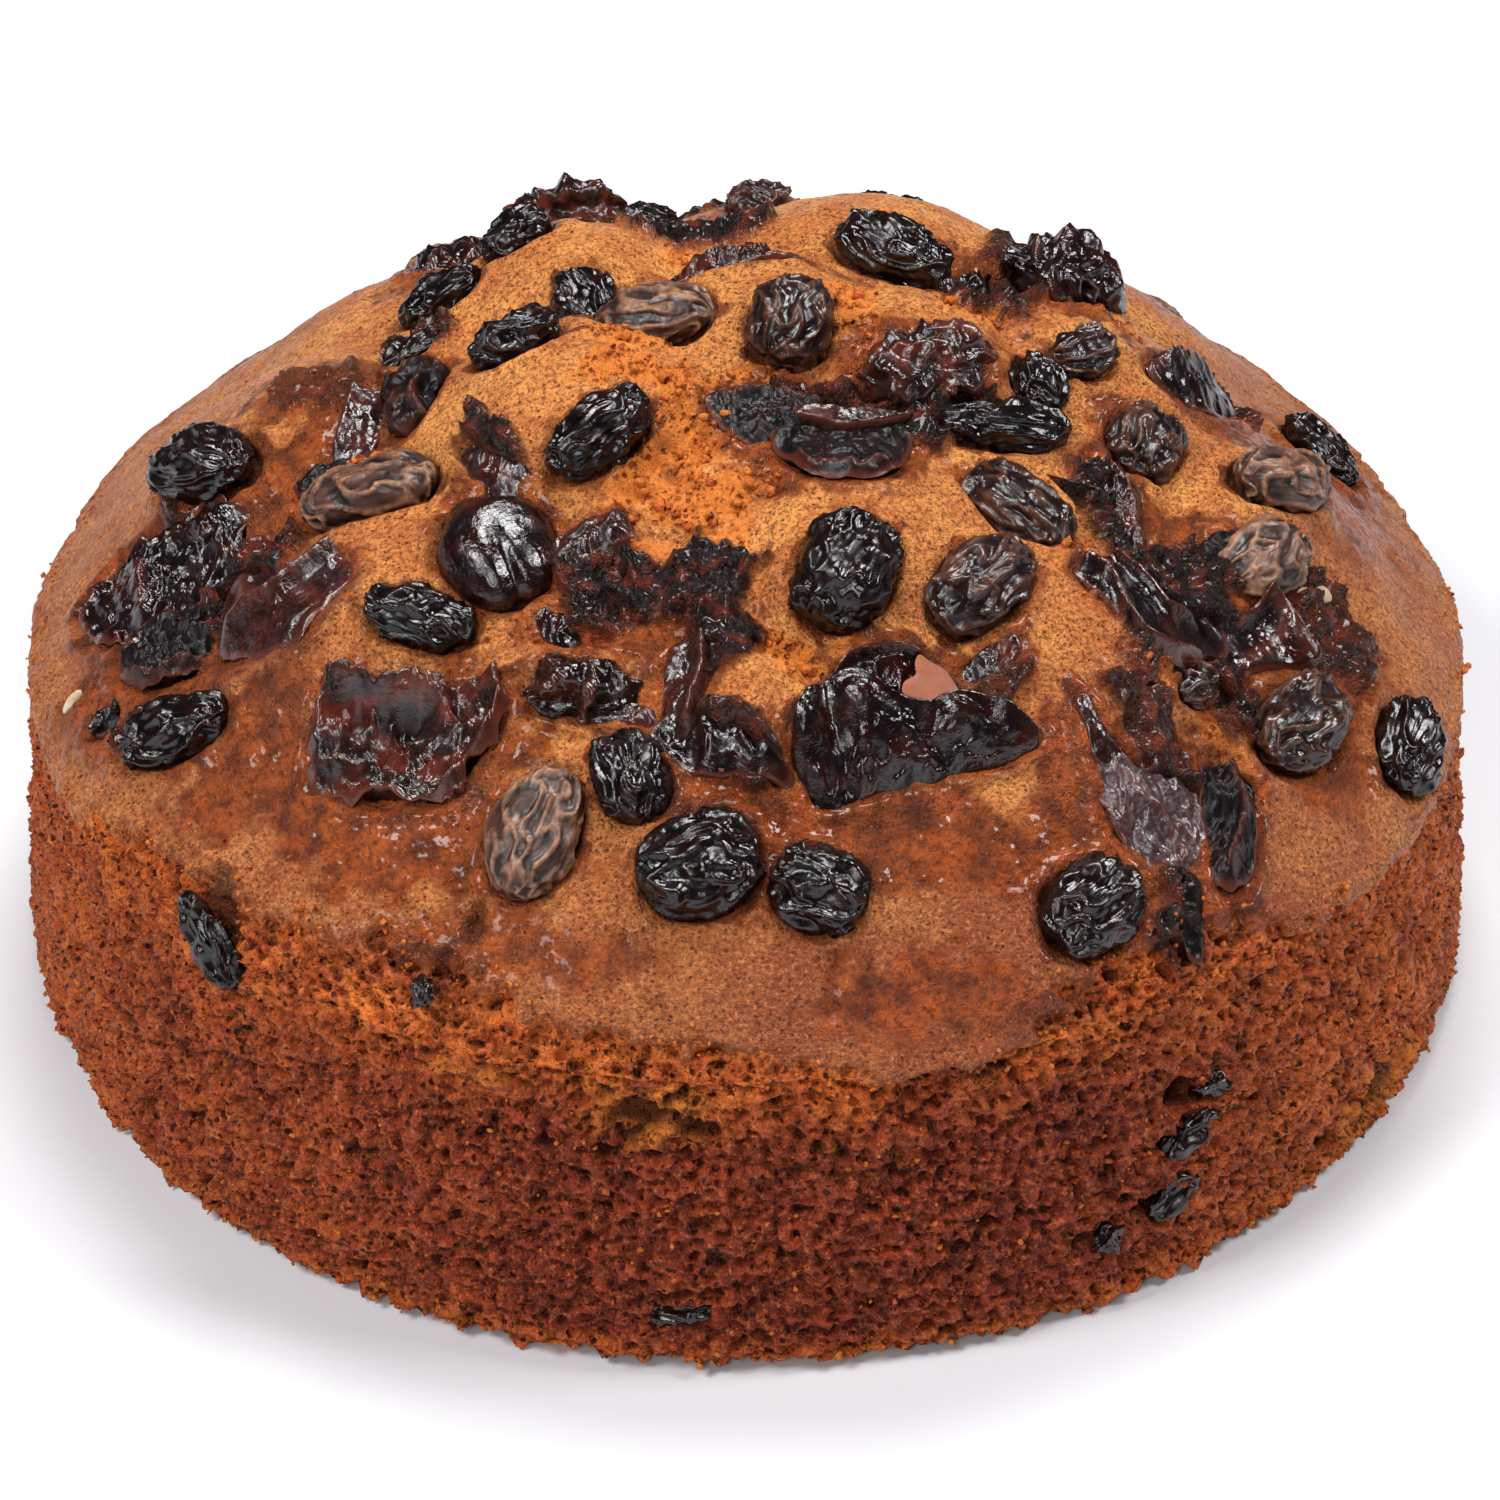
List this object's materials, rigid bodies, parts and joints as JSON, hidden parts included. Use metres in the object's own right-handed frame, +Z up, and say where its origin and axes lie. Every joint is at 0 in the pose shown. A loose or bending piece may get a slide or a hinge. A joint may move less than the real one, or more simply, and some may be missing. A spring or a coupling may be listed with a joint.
{
  "type": "fruit cake",
  "caption": "Round baked fruit cake with a domed, mounded top, a porous side crumb, and raisins and glossy pieces of date set into its crust.",
  "frame": {"origin": "on the table under the middle of the cake", "axes": "+Z up out of the top of the cake, -Y towards the viewer, +X to the viewer's right"},
  "size_m": [0.18, 0.1826, 0.0865],
  "materials": {
    "baked_crust": "baked orange-brown crust, dry and fine-grained with sticky darker patches",
    "black_raisin": "wrinkled, glossy, nearly black",
    "brown_raisin": "wrinkled, half glossy, brown",
    "tan_raisin": "wrinkled, dry, tan with pale veins",
    "date": "sticky, glossy, dark red-brown"
  },
  "bodies": {
    "root": {"cake": "baked_crust", "date_half_01": "date", "date_half_02": "date", "date_piece_01": "date", "date_piece_02": "date", "date_piece_03": "date", "date_piece_04": "date", "date_piece_05": "date", "date_piece_06": "date", "date_piece_07": "date", "date_piece_08": "date", "date_skin_01": "date", "date_skin_02": "date", "date_skin_03": "date", "date_skin_04": "date", "date_skin_05": "date", "date_skin_06": "date", "date_skin_07": "date", "date_skin_08": "date", "date_skin_09": "date", "date_skin_10": "date", "date_skin_11": "date", "date_skin_12": "date", "date_skin_13": "date", "date_skin_14": "date", "date_skin_15": "date", "raisin_black_01": "black_raisin", "raisin_black_02": "black_raisin", "raisin_black_03": "black_raisin", "raisin_black_04": "black_raisin", "raisin_black_05": "black_raisin", "raisin_black_06": "black_raisin", "raisin_black_07": "black_raisin", "raisin_black_08": "black_raisin", "raisin_black_09": "black_raisin", "raisin_black_10": "black_raisin", "raisin_black_11": "black_raisin", "raisin_black_12": "black_raisin", "raisin_black_13": "black_raisin", "raisin_black_14": "black_raisin", "raisin_black_15": "black_raisin", "raisin_black_16": "black_raisin", "raisin_black_17": "black_raisin", "raisin_black_18": "black_raisin", "raisin_black_19": "black_raisin", "raisin_black_20": "black_raisin", "raisin_black_21": "black_raisin", "raisin_brown_01": "brown_raisin", "raisin_brown_02": "brown_raisin", "raisin_brown_03": "brown_raisin", "raisin_brown_04": "brown_raisin", "raisin_brown_05": "brown_raisin", "raisin_brown_06": "brown_raisin", "raisin_brown_07": "brown_raisin", "raisin_tan_01": "tan_raisin", "raisin_tan_02": "tan_raisin", "raisin_tan_03": "tan_raisin", "raisin_tan_04": "tan_raisin", "raisin_tan_05": "tan_raisin", "raisin_tan_06": "tan_raisin"}
  },
  "joints": []
}
